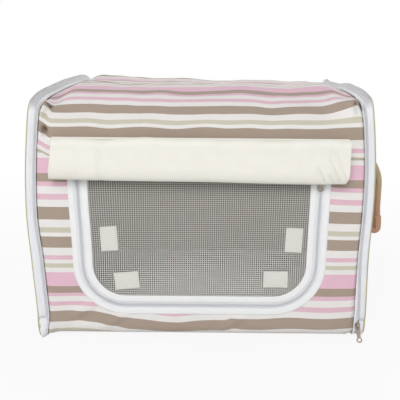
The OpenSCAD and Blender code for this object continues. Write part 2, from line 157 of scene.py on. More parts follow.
def skin(name, grid, marks=None, ring=False, loop=False, caps=False):
    """A mesh over rows and columns of points. marks are the points' places on the flat cloth, in metres."""
    grid = np.asarray(grid, float)
    rows, columns = grid.shape[:2]
    if marks is None:
        gaps = [np.linalg.norm(np.roll(grid, -1, k) - grid, axis=-1).mean(1 - k) for k in (0, 1)]
        marks = np.stack(np.meshgrid(*[np.append(0, np.cumsum(gap)) for gap in gaps], indexing="ij"), -1)
    r, c = np.meshgrid(np.arange(rows - (not loop)), np.arange(columns - (not ring)), indexing="ij")
    corners = [(r.ravel() + i, c.ravel() + j) for i, j in ((0, 0), (0, 1), (1, 1), (1, 0))]
    faces = np.stack([(i % rows) * columns + j % columns for i, j in corners], -1).tolist()
    places = np.stack([marks[i, j] for i, j in corners], 1).reshape(-1, 2)
    if caps:
        last = (rows - 1) * columns
        faces += [list(range(columns)), list(range(last, last + columns))[::-1]]
        places = np.concatenate([places, marks[0, :columns], marks[rows - 1, :columns][::-1]])
    mesh = bpy.data.meshes.new(name)
    mesh.from_pydata(grid.reshape(-1, 3).tolist(), [], faces)
    mesh.uv_layers.new(name="cloth").data.foreach_set("uv", places.ravel())
    if ring:
        work = bmesh.new()
        work.from_mesh(mesh)
        bmesh.ops.recalc_face_normals(work, faces=work.faces)
        work.to_mesh(mesh)
        work.free()
    mesh.shade_smooth()
    return set_out(name, mesh)


def fit(piece, material, body, slot, *nodes, thick=0.0):
    """Gives a piece its thickness, its finish and the body that carries it, in place of these CAD nodes."""
    if thick:
        piece.modifiers.new("thickness", "SOLIDIFY").thickness = thick
    piece.data.materials.append(material)
    if body:
        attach(piece, body)
    if nodes:
        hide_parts(*nodes)


class Strand:
    """One socket of a finish. Sums and products of strands add their Math nodes."""

    def __init__(self, tree, socket=None):
        self.tree, self.socket = tree, socket

    def node(self, kind, sockets=None, out=0, stops=(), **settings):
        """A new node: its settings first, with a ramp's stops, and then its sockets' values or links."""
        made = self.tree.nodes.new("ShaderNode" + kind)
        for name, value in settings.items():
            setattr(made, name, value)
        if stops:
            made.color_ramp.interpolation = "CONSTANT"
            while len(made.color_ramp.elements) < len(stops):
                made.color_ramp.elements.new(1)
            for element, (place, colour) in zip(made.color_ramp.elements, stops):
                element.position, element.color = place, colour
        for name, value in (sockets or {}).items():
            if isinstance(value, Strand):
                self.tree.links.new(value.socket, made.inputs[name])
            else:
                made.inputs[name].default_value = value
        return Strand(self.tree, made.outputs[out])

    def other(self, out):
        return Strand(self.tree, self.socket.node.outputs[out])

    def maths(self, operation, first, second=0.0):
        return self.node("Math", {0: first, 1: second}, operation=operation)

    def __add__(self, value):
        return self.maths("ADD", self, value)

    def __sub__(self, value):
        return self.maths("SUBTRACT", self, value)

    def __rsub__(self, value):
        return self.maths("SUBTRACT", value, self)

    def __mul__(self, value):
        return self.maths("MULTIPLY", self, value)

    def sine(self):
        return self.maths("ABSOLUTE", self.maths("SINE", self))

    def share(self):
        return self.maths("FRACT", self)

    def mix(self, low, high):
        return self.node("Mix", {0: self, 6: low, 7: high}, 2, data_type="RGBA")


def dye(code):
    """Six hex digits of a colour as it is seen, as the linear numbers that a shader uses."""
    parts = [int(code[i:i + 2], 16) / 255 for i in (0, 2, 4)]
    return [p / 12.92 if p <= 0.04045 else ((p + 0.055) / 1.055) ** 2.4 for p in parts] + [1]


def finish(name, **constants):
    """A new material, its shader and an empty strand to start its nodes from."""
    material = bpy.data.materials.new(name)
    material.use_nodes = True
    shader = material.node_tree.nodes["Principled BSDF"]
    for socket, value in constants.items():
        shader.inputs[socket.replace("_", " ")].default_value = value
    return material, shader, Strand(material.node_tree)


def feed(shader, height, depth, **sockets):
    """Links strands to the shader's sockets, with height, if any, as a bump of that depth in metres."""
    tree = shader.id_data
    for socket, strand in sockets.items():
        tree.links.new(strand.socket, shader.inputs[socket.replace("_", " ")])
    if height:
        bump = height.node("Bump", {"Height": height, "Distance": depth, "Strength": 0.6})
        tree.links.new(bump.socket, shader.inputs["Normal"])


def woven(start, pitch, lean=1.0):
    """Strands of a plain weave: its height, a slow mottle and its places along and across."""
    marks = start.node("UVMap", uv_map="cloth")
    along = marks.node("SeparateXYZ", {0: marks})
    across = along.other("Y")
    height = (along * (math.pi / pitch)).sine() * (across * (math.pi * lean / pitch)).sine()
    mottle = marks.node("TexNoise", {"Vector": marks, "Scale": 55.0, "Detail": 5.0})
    return height, mottle, along, across


stripes = (
    ("pink", 21.5), ("taupe", 12.0), ("rose", 7.0), ("white", 10.0), ("rose", 7.5), ("white", 10.0),
    ("taupe", 17.5), ("white", 11.3), ("beige", 7.5), ("white", 6.0), ("taupe", 16.4), ("white", 12.0),
    ("rose", 6.2), ("white", 6.0), ("beige", 6.1), ("white", 7.6),
)
stripe_dyes = {"pink": "e6bed0", "rose": "e2bccb", "taupe": "a9998b", "white": "ebe9e7", "beige": "cdc8b6"}
stripe_top = 0.2671
repeat = sum(width for _, width in stripes) / 1000


def stripe_finish():
    """The striped canvas, from the marks' second number as the height of the front's stripes."""
    material, shader, start = finish("striped canvas", Roughness=0.88, Sheen_Weight=0.12, Sheen_Roughness=0.6)
    height, mottle, along, across = woven(start, 0.0008)
    threads = start.node("CombineXYZ", {"X": along * 900.0, "Y": across * 300.0})
    fray = start.node("TexNoise", {"Vector": threads, "Scale": 1.0, "Detail": 1.0}, noise_dimensions="2D")
    place = ((stripe_top - across + fray * 0.0006 - 0.0003) * (1 / repeat)).share()
    stops, reached = [], 0.0
    for tint, width in stripes:
        stops.append((reached / repeat / 1000, dye(stripe_dyes[tint])))
        reached += width
    colour = start.node("ValToRGB", {"Fac": place}, stops=stops)
    shade = (mottle * 0.5 + height * 0.5).mix(dye("f0eeec"), dye("ffffff"))
    colour = start.node("Mix", {0: 1.0, 6: colour, 7: shade}, 2, data_type="RGBA", blend_type="MULTIPLY")
    feed(shader, height, 0.00022, Base_Color=colour)
    return material


striped_canvas = stripe_finish()


def both_sides(half):
    """A line that ends in the middle, carried on by its mirror image."""
    return np.concatenate([half, half[-2::-1] * [-1, 1]])


def window_line(off, top, sides=22, bend=14, foot=24):
    """The window's edge moved outwards from the net, from the top left round to the top right, in X and Z."""
    x, z = net_x - net_r, net_z + net_r
    turn = np.linspace(0, math.pi / 2, bend, endpoint=False)
    return both_sides(np.concatenate([
        points_of(-net_x - off, np.linspace(top, z, sides, endpoint=False)),
        points_of(-x - (net_r + off) * np.cos(turn), z - (net_r + off) * np.sin(turn)),
        points_of(np.linspace(-x, 0, foot), net_z - off),
    ]))


def up_the_front(x, s, inset=0.0):
    """Folds the flat front cloth round the lower corner: x along the bag, s up from the edge of the base."""
    turn = np.clip(s, 0, corner_l) / base_r
    y = front_y + base_r - (base_r - inset) * np.sin(turn)
    z = base_r - (base_r - inset) * np.cos(turn) + np.maximum(s - corner_l, 0)
    return points_of(x, y, z)


hem_creases = ((-0.177, 0.036, 0.0038, 0.026), (-0.124, 0.025, 0.0030, 0.020), (0.050, 0.022, 0.0026, 0.016))


def front_cloth(name, inset, edge_off, rows=24):
    """The U of cloth round the window, moved inwards by inset, with the creases and the droop at its hem."""
    sides, bend = 36, 24
    half = bend // 2
    inner = window_line(edge_off, seam_z, sides, bend, 34) + [0, corner_l - base_r]
    corner_s = net_z + net_r - base_r + corner_l
    outer = both_sides(np.concatenate([
        points_of(-edge_x, inner[:sides, 1]),
        points_of(-edge_x, np.linspace(corner_s, 0, half, endpoint=False)),
        points_of(np.linspace(-edge_x, net_r - net_x, half, endpoint=False), 0),
        points_of(inner[sides + bend:len(inner) // 2 + 1, 0], 0),
    ]))
    steps = np.concatenate([[0, 0.035, 0.07], np.linspace(0.1, 1, rows - 3)])[:, None]
    flat = outer + (inner - outer) * steps[..., None]
    x, s = flat[..., 0], flat[..., 1]
    points = up_the_front(x, s, inset)
    height = s - corner_l + base_r
    crease = 0
    for at_x, at_height, deep, long in hem_creases:
        across = 0.83 * (height - at_height) - 0.56 * (x - at_x)
        along = 0.83 * (x - at_x) + 0.56 * (height - at_height)
        fold = hump(across, 0.006) - 0.8 * hump(across + 0.010, 0.006)
        crease += deep * fold * hump(along, long) * (1 - ease(-x, 0.205, 0.222))
    puff = 0.0014 * ripple(points, 0.05, 3.1) + 0.0008 * ripple(points, 0.022, 7.7) + 0.0010
    points[..., 1] += ditch(x) - np.sin(math.pi * steps) * puff - crease
    by_hem = 1 - ease(height, 0.03, 0.09)
    drop = 0.0075 * ease(x, 0.12, 0.22) * ease(height, 0.09, 0.28) + 0.0042 * (1 - ease(height, 0.17, 0.235))
    droop = 0.0055 * ease(x, -0.135, -0.065) * (1 - 0.75 * ease(x, 0.036, 0.050)) * (1 - ease(x, 0.10, 0.19))
    droop += 0.0027 * hump(x + 0.045, 0.03) - 0.0012 * np.sin(x * 60)
    lift = 0.0085 * (1 - ease(x, -0.16, -0.10)) * (1 - ease(height, 0.03, 0.085))
    return skin(name, settle(points), points_of(x, height + drop + droop * by_hem - lift))


front_panel = front_cloth("front_panel_cloth", 0.0, window_cut)
fit(front_panel, striped_canvas, "tube", "striped_cloth", "front_panel", thick=canvas_t)


# Roof and rear panels
# The same striped canvas in two more lengths, joined to the front and to each other at hemmed seams. The
# roof is slack between the two end hoops, so that its corners round off and its top waves.

hoop_shoulder = (
    (0, 0.279), (0, 0.300), (0, 0.318), (0.001, 0.331), (0.004, 0.3385), (0.0095, 0.3437), (0.020, 0.3478),
    (0.038, 0.3512), (0.072, 0.3545), (0.120, 0.3560), (0.200, 0.3575),
)
slack_shoulder = (
    (0, 0.2700), (0, 0.288), (0.0005, 0.303), (0.0035, 0.3145), (0.015, 0.3265), (0.030, 0.3375),
    (0.046, 0.3470), (0.066, 0.3550), (0.092, 0.3612), (0.125, 0.3625), (0.200, 0.3590),
)
roof_rows, roof_columns = 170, 110
roof_mark, roof_stretch = 0.1132, 1.036


def spline(points, steps=12):
    """A smooth line through the points."""
    p = np.array(points, float)
    p = np.vstack([2 * p[0] - p[1], p, 2 * p[-1] - p[-2]])
    line = []
    for a, b, c, d in zip(p, p[1:], p[2:], p[3:]):
        gaps = [max(np.linalg.norm(v), 1e-9) ** 0.5 for v in (b - a, c - b, d - c)]
        knots = np.append(0, np.cumsum(gaps))
        t = np.linspace(knots[1], knots[2], steps, endpoint=False)[:, None]

        def between(m, n, i, j):
            return ((knots[j] - t) * m + (t - knots[i]) * n) / (knots[j] - knots[i])

        ab, bc, cd = between(a, b, 0, 1), between(b, c, 1, 2), between(c, d, 2, 3)
        line.append(between(between(ab, bc, 0, 2), between(bc, cd, 1, 3), 1, 2))
    return np.vstack(line + [p[-2:-1]])


def spaced(line, count=None, places=None, measure=None):
    """Points along a line at even distances, or at these shares of its length over the first columns."""
    steps = np.diff(line[:, :measure], axis=0)
    reach = np.append(0, np.cumsum(np.linalg.norm(steps, axis=-1)))
    at = reach[-1] * (np.linspace(0, 1, count) if places is None else places)
    return np.stack([np.interp(at, reach, line[:, k]) for k in range(line.shape[1])], -1)


def length(line):
    return np.linalg.norm(np.diff(line, axis=0), axis=-1).sum()


def unit(arrows):
    """The same directions, each of length one."""
    return arrows / np.linalg.norm(arrows, axis=-1, keepdims=True)


def square_to(line):
    """Directions square to a line in a plane, on its left."""
    run = unit(np.gradient(line, axis=0))
    return points_of(-run[..., 1], run[..., 0])


def across_the_bag(columns):
    """Places from side to side, closer together near the zips."""
    return edge_x * np.sin(np.linspace(-0.5, 0.5, columns) * math.pi * 0.94) / math.sin(0.47 * math.pi)


hoop_roof, slack_roof = (both_sides(spline(line) + [front_y, 0]) for line in (hoop_shoulder, slack_shoulder))
tucks = (
    (-0.2145, 0.0715, 0.0036, 0.0060, 0.024), (-0.2150, 0.0520, 0.0020, 0.0060, 0.010),
    (-0.2145, 0.0310, 0.0032, 0.0055, 0.020), (0.2180, 0.0670, 0.0040, 0.0075, 0.016),
    (0.2030, 0.0740, 0.0070, 0.0040, 0.003),
)


def roof_cloth(name, inset):
    """The roof from seam to seam, tight on the hoops and slack between them."""
    share = np.linspace(0, 1, roof_rows)[:, None]
    x = across_the_bag(roof_columns)
    tight, loose = (spaced(line, places=share[:, 0])[:, None] for line in (hoop_roof, slack_roof))
    slack = ease(x, -cloth_x - 0.001, -cloth_x + 0.018) * ease(-x, -cloth_x - 0.002, -cloth_x + 0.055)
    section = tight + (loose - tight) * slack[:, None]
    seam_drop = 0.0095 * ease(x, 0.02, 0.20) * (1 - slack) + 0.0005
    section[..., 1] -= seam_drop * (1 - ease(share, 0.0, 0.22))
    section[..., 1] -= 0.0034 * slack * ease(share, 0.45, 0.65) * (1 - ease(share, 0.80, 0.92))
    points = points_of(x, section[..., 0], section[..., 1])
    top = ease(share, 0.10, 0.2) * (1 - ease(share, 0.8, 0.9))
    waves = 0.0040 * ripple(points, 0.085, 1.7) + 0.0016 * ripple(points, 0.03, 5.2)
    from_seam = np.minimum(share, 1 - share)
    lip = 0.0016 * (1 - ease(from_seam, 0.012, 0.030))
    calm = ease(from_seam, 0.0, 0.06) * (0.55 + 0.45 * top)
    push = waves * slack * calm + lip - inset - ditch(x)
    points += np.insert(square_to(section), 0, 0, axis=-1) * push[..., None]
    reach = share * length(hoop_roof)
    for side, place, wide, tall, deep in tucks:
        points[..., 1] += deep * hump(x - side, wide) * hump(reach - place, tall)
    waver = 0.0032 * ripple(points, 0.045, 6.3) * slack
    return skin(name, settle(points), points_of(x, roof_mark + reach * roof_stretch + waver))


roof_panel = roof_cloth("roof_panel_cloth", 0.0)
fit(roof_panel, striped_canvas, "tube", "striped_cloth", "roof_panel", thick=canvas_t)


def rear_cloth(name, inset, rows=40, columns=60):
    """The rear panel from its seam down to the edge of the base."""
    s = np.linspace(seam_z - 0.001 - base_r + corner_l, 0, rows)[:, None]
    x = across_the_bag(columns)
    points = up_the_front(x, s, inset)
    points[..., 1] *= -1
    swell = np.sin(math.pi * np.linspace(0, 1, rows))[:, None] * np.sin(math.pi * np.linspace(0, 1, columns))
    points[..., 1] += swell * (0.004 + 0.003 * ripple(points, 0.09, 9.3)) - ditch(x)
    return skin(name, settle(points), points_of(x, s - corner_l + base_r))


rear_panel = rear_cloth("rear_panel_cloth", 0.0)
fit(rear_panel, striped_canvas, "tube", "striped_cloth", "rear_panel", thick=canvas_t)

stitch_gap, stitch_l, stitch_w = 0.0033, 0.0026, 0.0007


def stitches(name, rows):
    """Sewing thread along rows, each with its points and its direction out of the cloth."""
    points = []
    for path, out in rows:
        count = max(int(length(path) / stitch_gap), 2)
        both = np.concatenate([path, np.broadcast_to(out, path.shape)], -1)
        both = spaced(both, places=(np.arange(count) + 0.5) / count, measure=3)
        at, up = both[:, :3], both[:, 3:]
        run = unit(np.gradient(at, axis=0)) * stitch_l / 2
        over = unit(np.cross(run, up)) * stitch_w / 2
        lift = up * stitch_w / 2
        points.append(np.stack([at + run, at - run, at + over, at - over, at + lift, at - lift], 1))
    points = np.concatenate(points)
    one = np.array([(4, 2, 0), (4, 1, 2), (4, 3, 1), (4, 0, 3), (5, 0, 2), (5, 2, 1), (5, 1, 3), (5, 3, 0)])
    faces = (one + 6 * np.arange(len(points))[:, None, None]).reshape(-1, 3)
    mesh = bpy.data.meshes.new(name)
    mesh.from_pydata(points.reshape(-1, 3).tolist(), [], faces.tolist())
    mesh.shade_smooth()
    return set_out(name, mesh)


def flecked(name, low, high, scale, detail=2.0, depth=0.0, place="Object", **constants):
    """A plain finish with flecks between two shades, which are its bump too where depth is given."""
    material, shader, start = finish(name, **constants)
    coordinates = start.node("TexCoord", out=place)
    flecks = start.node("TexNoise", {"Vector": coordinates, "Scale": scale, "Detail": detail})
    feed(shader, flecks if depth else None, depth, Base_Color=flecks.mix(dye(low), dye(high)))
    return material


sewing_thread = flecked(
    "sewing thread", "d2d1cd", "e8e7e3", 900.0, depth=0.0001, Roughness=0.6, Sheen_Weight=0.2)
roof_points = np.array([vertex.co for vertex in roof_panel.data.vertices]).reshape(roof_rows, roof_columns, 3)
hem_rows = [(roof_points[row, 2:-2], (0, 1.0, 0)) for row in (-2, -4)]
fit(stitches("rear_seam_stitches", hem_rows), sewing_thread, "tube", "striped_cloth")


# Base panel and lining
# The base is plain taupe canvas sewn between the lower edges of the front and the rear. The lining is a thin
# grey cloth that follows the tube inside and is caught in the same seams.

base_low, base_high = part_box("base_panel")
lining_in, lining_cut, lining_t = 0.0034, 0.0265, 0.0006


def base_cloth(name, x_reach, z, rows=24, columns=40):
    """The flat bottom, facing down."""
    flat = np.meshgrid(np.linspace(-x_reach, x_reach, columns), np.linspace(base_high.y, base_low.y, rows))
    points = points_of(*flat, z)
    points[..., 2] += 0.0007 * (1 + ripple(points, 0.05, 4.4))
    return skin(name, settle(points), points_of(*flat))


def cloth(name, low, high, pitch=0.0007, roughness=0.9, sheen=0.15, depth=0.0002, lean=1.0, soft=0.6,
          mottled=0.7, second_tone=()):
    """A plain woven cloth between two shades of one colour. The optional second pair of shades comes up, for
    each texture coordinate that it names, between two values of its Z: a redder tan on the handle's grip, and
    painted shade on the zip tape where it faces up on the roof."""
    material, shader, start = finish(name, Roughness=roughness, Sheen_Weight=sheen, Sheen_Roughness=soft)
    height, mottle, *_ = woven(start, pitch, lean)
    shade = mottle * mottled + height * (1 - mottled)
    colour = shade.mix(dye(low), dye(high))
    # The second pair of shades: a redder tan on the grip, and painted shade on upward-facing zip tape on the
    # roof.
    if second_tone:
        low, high, *places = second_tone
        shown = 1.0
        for kind, bare, full in places:
            z = start.node("SeparateXYZ", {0: start.node("TexCoord", out=kind)}, "Z")
            shown = start.node("MapRange", {0: z, 1: bare, 2: full}) * shown
        colour = shown.mix(colour, shade.mix(dye(low), dye(high)))
    feed(shader, height, depth, Base_Color=colour)
    return material


def joined(name, pieces, weld=0.0):
    """Several pieces as one mesh, with points closer than weld made one."""
    work = bmesh.new()
    for piece in pieces:
        work.from_mesh(piece.data)
        bpy.data.objects.remove(piece)
    if weld:
        bmesh.ops.remove_doubles(work, verts=work.verts, dist=weld)
    mesh = bpy.data.meshes.new(name)
    work.to_mesh(mesh)
    work.free()
    mesh.shade_smooth()
    return set_out(name, mesh)


base_panel = base_cloth("base_panel_cloth", base_high.x, 0.0)
taupe_canvas = cloth("taupe canvas", "8d7f70", "9f9080")
fit(base_panel, taupe_canvas, "tube", "base_cloth", "base_panel", thick=canvas_t)

lining = joined("lining_cloth", [
    front_cloth("lining_front", lining_in, lining_cut),
    roof_cloth("lining_roof", lining_in),
    rear_cloth("lining_rear", lining_in),
    base_cloth("lining_base", cloth_x, 0.0032),
])
lining_weave = cloth("lining weave", "736f68", "827e76", 0.0005)
fit(lining, lining_weave, "tube", "lining_cloth", "lining", thick=lining_t)


# End zips on the tube
# Woven white tape topstitched to the ends of the tube, with the tube's half of a nylon coil along its edge.
# The zips run up the front, over the roof, where shade is painted on the tape's upward faces, and down the
# rear. White gussets cover the lower corners.

ends = ((1, "right"), (-1, "left"))
front_side = up_the_front(0, np.linspace(0, hoop_shoulder[0][1] - base_r + corner_l, 60))[:, 1:]
hoop_line = spaced(np.concatenate([front_side[:-1], hoop_roof, front_side[-2::-1] * [-1, 1]]), 900)
hoop_out, hoop_l = square_to(hoop_line), length(hoop_line)
rim_tape_low, rim_tape_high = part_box("right_rim_tape")
chain_x = (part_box("right_tube_coil")[1].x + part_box("right_rim_coil")[0].x) / 2
coil_from = 0.023
rim_from = corner_l + rim_tape_low.z - base_r
coil_pitch, coil_wire, coil_high = 0.0015, 0.00036, 0.0007


def on_hoop(start, end, count):
    """Places on the end hoop and their outward directions, between two distances along it."""
    places = np.linspace(start, end, count) / hoop_l
    both = spaced(np.concatenate([hoop_line, hoop_out], -1), places=places, measure=2)
    return both[:, :2], both[:, 2:]


def hoop_strip(name, side, profile, start, end, count=170, sunk=0.0):
    """A strip laid along the hoop; profile gives its places along X and outwards from the hoop."""
    line, out = on_hoop(start, end, count)
    grid = np.stack([np.insert(line + out * (rise - sunk), 0, side * x, axis=1) for x, rise in profile], 1)
    return skin(name, settle(grid), ring=True, caps=True)


def rod(name, path, up, radius, sides, loop=False):
    """A round rod along a path; up points to one side of it."""
    run = np.roll(path, -1, 0) - np.roll(path, 1, 0) if loop else np.gradient(path, axis=0)
    side = unit(np.cross(run, up))
    up = unit(np.cross(side, run))
    turn = np.linspace(0, 2 * math.pi, sides, endpoint=False)[:, None]
    rings = path[:, None] + radius * (np.cos(turn) * side[:, None] + np.sin(turn) * up[:, None])
    return skin(name, rings, ring=True, loop=loop, caps=not loop)


def coil(name, path, wide, high, phase):
    """A zip coil wound along a path, with wide across the zip and high out of the cloth."""
    turns = int(length(path) / coil_pitch)
    places = np.linspace(0, 1, turns * 8)
    spine = np.concatenate(np.broadcast_arrays(path, wide, high), -1)
    spine = spaced(spine, places=places, measure=3)
    turn = (2 * math.pi * turns * places + phase)[:, None]
    arm = spine[:, 3:6] * np.cos(turn) + spine[:, 6:] * np.sin(turn)
    return rod(name, spine[:, :3] + arm, arm, coil_wire, 4)


def hoop_coil(name, side, x, start, end, phase):
    """The coil of an end zip, along the hoop."""
    line, out = on_hoop(start, end, 500)
    path = settle(np.insert(line + out * 0.0002, 0, side * x, axis=1))
    return coil(name, path, (0.0013, 0, 0), np.insert(out, 0, 0, axis=1) * coil_high, phase)


# Painted shade: greyer shades for the zip tape where it faces up, above the height of the roof's shoulders.
roof_painted_shade = ("b0afb1", "c1c0c2", ("Normal", 0.3, 0.9), ("Object", 0.31, 0.34))
zip_tape = cloth("white zip tape", "dfe1e6", "eff0f3", 0.0012, 0.8, 0.1, 0.0003, 2.0, second_tone=roof_painted_shade)
nylon = flecked("white nylon coil", "e0e1e5", "eeeff2", 400.0, place="Generated", Roughness=0.45, IOR=1.5)

lapped = 0.0012 * ease(np.linspace(0, 1, 30), 0.70, 0.82)[:, None]
for side, end in ends:
    tape = hoop_strip(end + "_tube_zip_tape", side, (
        (cloth_x + 0.0002, -0.0006), (cloth_x + 0.0002, 0.0006), (cloth_x + 0.0008, 0.0009),
        (chain_x - 0.0022, 0.0002), (chain_x - 0.0002, -0.0006), (chain_x - 0.0002, -0.0018)), 0.0, hoop_l)
    fit(tape, zip_tape, "tube", "white_tape", end + "_tube_tape")
    teeth = hoop_coil(end + "_tube_zip_coil", side, chain_x - 0.0009, coil_from, hoop_l - coil_from, 0.0)
    fit(teeth, nylon, "tube", "coil_plastic", end + "_tube_coil")
    covers = []
    for at_front in (True, False):
        inside = chain_x + 0.0016 if at_front == (side > 0) else chain_x - 0.0034
        first, last = (0.0, rim_from + 0.006) if at_front else (hoop_l - rim_from - 0.006, hoop_l)
        covers.append(hoop_strip("gusset", side, (
            (inside, -0.0010), (inside, 0.0004), (chain_x + 0.0022, 0.0003), (rim_tape_high.x, 0.0010),
            (rim_tape_high.x + 0.0022, 0.0011), (rim_tape_high.x + 0.0022, -0.0002)),
            first, last, 30, lapped if at_front else lapped[::-1]))
    fit(joined(end + "_corner_gussets", covers), zip_tape, "tube", "white_tape", end + "_gussets")

line, out = on_hoop(0.012, hoop_l - 0.012, 400)
sewn_x = cloth_x + 0.0024
rows = [(settle(np.insert(line + out * 0.0009, 0, s * sewn_x, axis=1)), np.insert(out, 0, 0, axis=1))
        for s in (-1, 1)]
fit(stitches("tape_stitches", rows), sewing_thread, "tube", "white_tape")


# Window edge
# A white cotton binding round the window, with the cloth side's zip tape and coil let in along its inner
# edge. Two rows of sewing hold the binding.

window_off = 0.0192
window_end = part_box("window_binding")[1].x - net_x
band_top = seam_z - 0.003
zip_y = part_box("window_tape")[0].y
zip_face, zip_back = zip_y - 0.0016, zip_y + 0.0009
zip_chain = binding_w + 0.0046


def window_band(name, profile):
    """A band along the window's U; profile gives its distances out from the net and its depths."""
    grid = np.stack([np.insert(window_line(off, band_top), 1, y, axis=1) for off, y in profile], 1)
    return skin(name, settle(grid), ring=True, caps=True)


def folded(inner, outer):
    """Profile of a folded binding: a crowned face and a flat back."""
    t = np.linspace(0, 1, 9)
    crown = front_y - 0.0006 - 0.0009 * (1 - (2 * t - 1) ** 4)
    return [*zip(inner + (outer - inner) * t, crown), (outer, zip_y), (inner, zip_y)]


def window_coil(name, off, phase):
    """The coil of the door's zip, along the window's U."""
    line = window_line(off, band_top)
    path = settle(np.insert(line, 1, zip_face - 0.0003, axis=1))
    wide = np.insert(-square_to(line), 1, 0, axis=1) * 0.0014
    return coil(name, path, wide, (0, -coil_high, 0), phase)


def binding_stitches(name, inner, outer):
    """The two rows of sewing along a binding, near its edges."""
    lines = [window_line(off, seam_z - 0.004) for off in (inner + 0.0016, outer - 0.0016)]
    rows = [(settle(np.insert(line, 1, front_y - 0.0012, axis=1)), (0, -1.0, 0)) for line in lines]
    return stitches(name, rows)


white_binding = cloth("white binding", "e6e7e8", "f3f3f4", 0.0006, 0.85, 0.15)
binding = window_band("window_edge_binding", folded(window_off, window_end))
fit(binding, white_binding, "tube", "white_binding", "window_binding")
tape = window_band("window_zip_tape", (
    (zip_chain + 0.0002, zip_face), (window_off + 0.004, zip_face),
    (window_off + 0.004, zip_back), (zip_chain + 0.0002, zip_back)))
fit(tape, zip_tape, "tube", "white_tape", "window_tape")
teeth = window_coil("window_zip_coil", zip_chain + 0.0011, 0.0)
fit(teeth, nylon, "tube", "coil_plastic", "window_coil")
sewing = binding_stitches("window_binding_stitches", window_off, window_end)
fit(sewing, sewing_thread, "tube", "white_binding")


# Net door
# Open knitted net on a white binding with the door's half of the zip. The net and its edges carry on upwards
# behind the rolled flap, in one cloth.

net_pitch, strand_w, strand_t, net_tuck, weave = 0.0031, 0.0008, 0.0006, 0.003, 0.00022
hinge_z = next(j for j in frame["joints"] if j["name"] == "door_swing")["pos_m"][2]
net_top, net_y = seam_z - 0.004, zip_y + 0.0005


def hinged(piece, material, slot, *nodes):
    """Fits a piece of the door with no body to carry it, and bakes its place into its points."""
    fit(piece, material, None, slot, *nodes)
    hinge_z + 0.011
    hinge_z - 0.011
    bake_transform(piece)


def corner_reach(past):
    """How far the net's rounded corner reaches at a distance past the end of the straight edge."""
    return np.sqrt(np.maximum((net_r + net_tuck) ** 2 - np.maximum(past, 0) ** 2, 0))


def sag(x, z):
    """How far the net hangs in from its edge."""
    up = np.clip((z - net_z) / (net_top - net_z), 0, 1)
    return 0.004 * np.clip(1 - (x / net_x) ** 2, 0, 1) * np.sin(math.pi * up)


columns = np.arange(-net_x - 0.002, net_x + 0.002, net_pitch)
heights = np.arange(net_z - 0.0025, net_top, net_pitch)
points, faces = [], []


def strand(path, across):
    """Adds one four-sided strand of the net."""
    first, last = len(points), len(points) + 4 * len(path) - 4
    half = np.array(across) * strand_w / 2
    deep = np.array([0, strand_t / 2, 0])
    points.extend(np.stack([path + half, path + deep, path - half, path - deep], 1).reshape(-1, 3))
    for ring in range(first, last, 4):
        faces.extend([(ring + k, ring + (k + 1) % 4, ring + 4 + (k + 1) % 4, ring + 4 + k) for k in range(4)])
    faces.extend([(first + 3, first + 2, first + 1, first), (last, last + 1, last + 2, last + 3)])


for i, x in enumerate(columns):
    z = heights[heights > net_z + net_r - corner_reach(abs(x) - net_x + net_r)]
    over = np.where((np.arange(len(heights))[-len(z):] + i) % 2, weave, -weave)
    strand(points_of(x, net_y + sag(x, z) + over, z), (1.0, 0, 0))
for j, z in enumerate(heights):
    x = columns[np.abs(columns) < net_x - net_r + corner_reach(net_z + net_r - z)]
    over = np.where((np.arange(len(x)) + np.searchsorted(columns, x[0]) + j) % 2, -weave, weave)
    strand(points_of(x, net_y + sag(x, z) + over, z), (0, 0, 1.0))
mesh = bpy.data.meshes.new("door_net_knit")
mesh.from_pydata(settle(points).tolist(), [], faces)
net_yarn = flecked("net yarn", "d3d0c9", "e8e6e0", 260.0, 3.0, 0.0002, Roughness=0.7)
hinged(set_out("door_net_knit", mesh), net_yarn, "net", "door_net", "header_net")

binding = window_band("door_edge_binding", folded(0.0, binding_w))
hinged(binding, white_binding, "white_binding", "door_binding", "header_binding")
hinged(binding_stitches("door_binding_stitches", 0.0, binding_w), sewing_thread, "white_binding")
tape = window_band("door_zip_tape", (
    (binding_w - 0.004, zip_back), (binding_w - 0.004, zip_face),
    (zip_chain - 0.0002, zip_face), (zip_chain - 0.0002, zip_back)))
hinged(tape, zip_tape, "white_tape", "door_tape")
teeth = window_coil("door_zip_coil", zip_chain - 0.0011, math.pi)
hinged(teeth, nylon, "coil_plastic", "door_coil", "header_coil")


# Hook-and-loop patches
# Four off-white pads of loop pile, where the unrolled flap closes. Each is sewn to the net with one row of
# thread near its edge.

off_white_pile, shader, start = finish(
    "off-white loop pile", Roughness=0.95, Sheen_Weight=0.3, Sheen_Roughness=0.5)
loops = start.node("TexVoronoi", {"Vector": start.node("UVMap", uv_map="cloth"), "Scale": 900.0})
feed(shader, loops, 0.0004, Base_Color=loops.mix(dye("cfcdc6"), dye("dcdad4")))
stitch_in, patch_rise, patch_t = 0.0022, 0.0016, 0.0011


def edged(size):
    """Places across a sewn pad, close together at its edges."""
    edge = np.array([0.0, 0.0008, 0.0015, stitch_in, 0.0029, 0.0042])
    middle = np.linspace(0.006, size - 0.006, 7)
    return np.concatenate([edge, middle, size - edge[::-1]]) - size / 2


def sewn_pad(place, across, up, width, height, rise):
    """A pad sewn flat near its edge, and its row of sewing. It faces square to across and up."""
    place, across, up = (np.array(v, float) for v in (place, across, up))
    out = np.cross(across, up)
    u, w = np.meshgrid(edged(width), edged(height))
    edge = np.minimum(width / 2 - np.abs(u), height / 2 - np.abs(w))
    pressed = 0.6 * hump(edge - stitch_in, 0.0006) + 0.4 * (1 - ease(edge, 0, 0.001))
    high = rise * (1 - 0.5 * pressed)
    points = place + u[..., None] * across + w[..., None] * up + high[..., None] * out
    x, z = width / 2 - stitch_in, height / 2 - stitch_in
    corners = [(-x, -z), (x, -z), (x, z), (-x, z), (-x, -z)]
    row = np.array([place + a * across + b * up + rise * 0.75 * out for a, b in corners])
    return skin("pad", points, points_of(u, w)), (spaced(row, 80), out)


